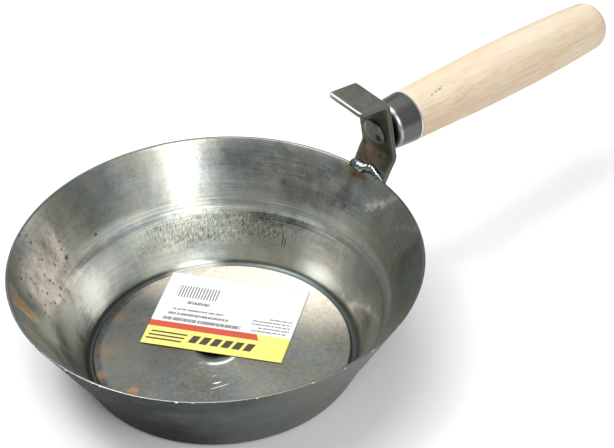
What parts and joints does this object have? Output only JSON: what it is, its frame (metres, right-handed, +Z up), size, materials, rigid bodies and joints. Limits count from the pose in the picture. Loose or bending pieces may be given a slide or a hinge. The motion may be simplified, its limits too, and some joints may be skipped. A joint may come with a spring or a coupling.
{
  "type": "plasterer's ladle",
  "caption": "Plasterer's ladle: pressed sheet-steel bowl, bent steel hook lug welded to its rim, and a ferruled wooden handle on a headed tang.",
  "frame": {"origin": "on the plane that the bowl stands on, straight below the middle of the rim", "axes": "+Z up, along the bowl's axis; +X from the bowl's axis towards the handle"},
  "size_m": [0.3649, 0.2, 0.1095],
  "materials": {
    "bowl_steel": "bare pressed sheet, brushed and lightly stained",
    "lug_steel": "dull mill scale with rust",
    "weld_metal": "bright rippled weld metal",
    "tang_steel": "dull hammered steel",
    "ferrule_steel": "smooth drawn steel",
    "handle_wood": "pale turned wood, thin matt varnish",
    "label_paper": "printed paper with plain bands"
  },
  "bodies": {
    "root": {"bowl": "bowl_steel", "lug": "lug_steel", "rim_weld": "weld_metal", "foot_weld": "weld_metal", "tang": "tang_steel", "ferrule": "ferrule_steel", "handle": "handle_wood", "label": "label_paper"}
  },
  "joints": []
}
